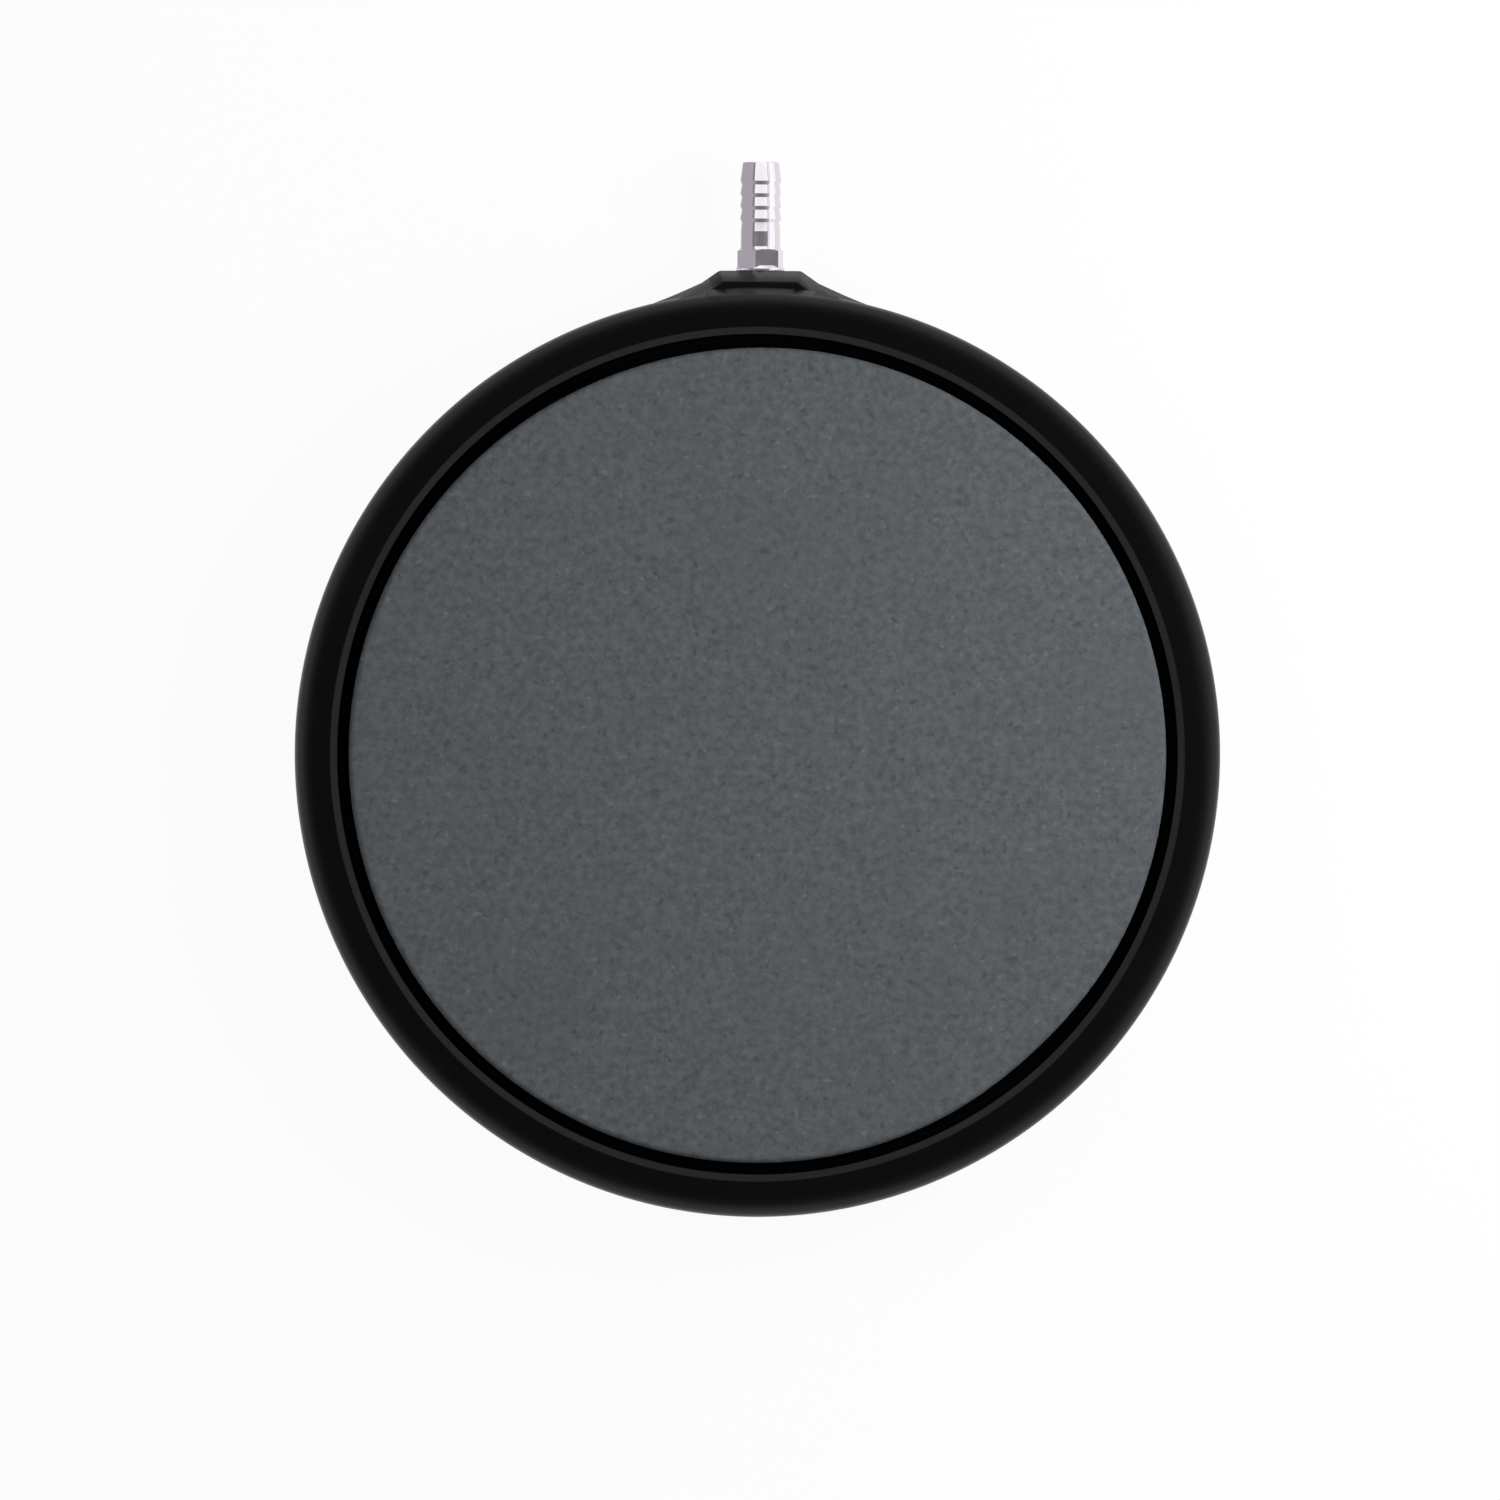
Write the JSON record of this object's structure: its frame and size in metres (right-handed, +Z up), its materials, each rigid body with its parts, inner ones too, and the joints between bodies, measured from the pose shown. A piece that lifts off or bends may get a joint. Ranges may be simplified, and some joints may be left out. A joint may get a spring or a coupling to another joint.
{
  "type": "air stone",
  "caption": "Round disc air stone: grey porous ceramic plate bonded into a black plastic housing, with a plated hose barb on a side boss",
  "frame": {"origin": "centre of the housing's base, on the surface it stands on", "axes": "+Z up along the disc's axis, the way the stone faces; +Y along the hose barb, away from the disc"},
  "size_m": [0.2, 0.2279, 0.027],
  "materials": {
    "housing_plastic": "satin",
    "stone": "matte",
    "adhesive": "satin",
    "plated_brass": "polished",
    "seal_rubber": "matte"
  },
  "bodies": {
    "root": {"housing": "housing_plastic", "stone_disc": "stone", "adhesive_ring": "adhesive", "hose_barb": "plated_brass", "o_ring": "seal_rubber"}
  },
  "joints": []
}
